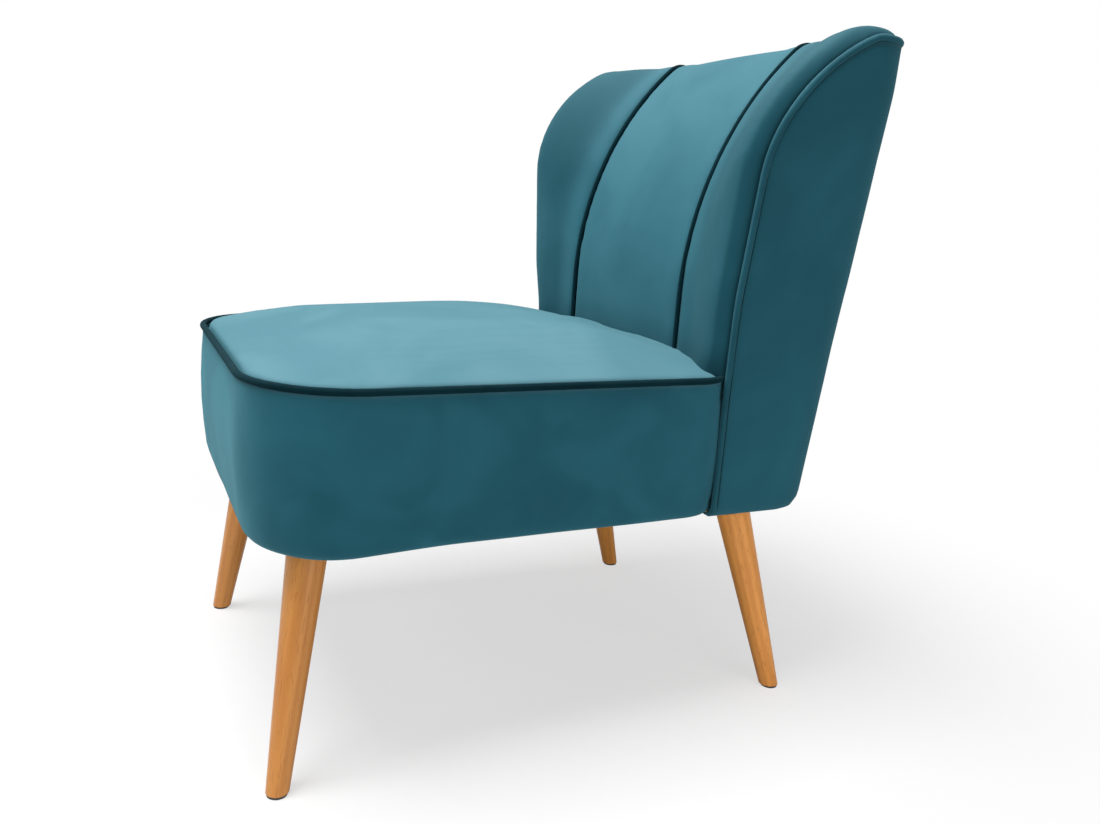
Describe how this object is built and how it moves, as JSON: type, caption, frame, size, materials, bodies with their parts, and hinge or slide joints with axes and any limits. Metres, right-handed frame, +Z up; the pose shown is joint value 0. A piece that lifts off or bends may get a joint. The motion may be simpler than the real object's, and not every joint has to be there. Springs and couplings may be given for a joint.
{
  "type": "crapaud armchair",
  "caption": "Low crapaud armchair: domed velvet seat with piped edge, fan-shaped winged back in sewn panels, on splayed round tapered beech legs.",
  "frame": {"origin": "on the floor, under the middle of the chair's bounding box", "axes": "+Z up, +X to the sitter's left, -Y the way the sitter faces"},
  "size_m": [0.574, 0.6848, 0.7723],
  "materials": {
    "velvet": "short cut-pile velvet, petrol teal, nap brushed downwards",
    "leg_beech": "turned beech, orange-brown satin lacquer",
    "frame_wood": "planed softwood, unfinished",
    "plywood": "sawn birch plywood, unfinished",
    "hardboard": "bent hardboard",
    "foam": "cut polyurethane foam",
    "webbing": "woven elastic webbing",
    "liner_felt": "needle felt",
    "dust_cloth": "black spun-bonded cloth",
    "zinc_steel": "zinc plated",
    "glide_plastic": "moulded, matt"
  },
  "bodies": {
    "root": {"back_board": "hardboard", "back_left_cover": "velvet", "back_left_pad": "foam", "back_left_post": "frame_wood", "back_left_side": "plywood", "back_lower_rail": "frame_wood", "back_middle_cover": "velvet", "back_middle_pad": "foam", "back_outside_cover": "velvet", "back_piping": "velvet", "back_right_cover": "velvet", "back_right_pad": "foam", "back_right_post": "frame_wood", "back_right_side": "plywood", "back_top_rail": "frame_wood", "back_webbing": "webbing", "dust_cover": "dust_cloth", "frame_screws": "zinc_steel", "front_left_corner_block": "frame_wood", "front_left_glide": "glide_plastic", "front_left_leg": "leg_beech", "front_left_leg_plate": "zinc_steel", "front_rail": "frame_wood", "front_right_corner_block": "frame_wood", "front_right_glide": "glide_plastic", "front_right_leg": "leg_beech", "front_right_leg_plate": "zinc_steel", "left_seam_piping": "velvet", "left_side_rail": "frame_wood", "leg_bolts": "zinc_steel", "rear_left_corner_block": "frame_wood", "rear_left_glide": "glide_plastic", "rear_left_leg": "leg_beech", "rear_left_leg_block": "frame_wood", "rear_left_leg_plate": "zinc_steel", "rear_rail": "frame_wood", "rear_right_corner_block": "frame_wood", "rear_right_glide": "glide_plastic", "rear_right_leg": "leg_beech", "rear_right_leg_block": "frame_wood", "rear_right_leg_plate": "zinc_steel", "right_seam_piping": "velvet", "right_side_rail": "frame_wood", "seat_border_cover": "velvet", "seat_border_padding": "foam", "seat_cross_webbing": "webbing", "seat_foam": "foam", "seat_liner": "liner_felt", "seat_long_webbing": "webbing", "seat_piping": "velvet", "seat_top_cover": "velvet", "webbing_rail": "frame_wood"}
  },
  "joints": []
}
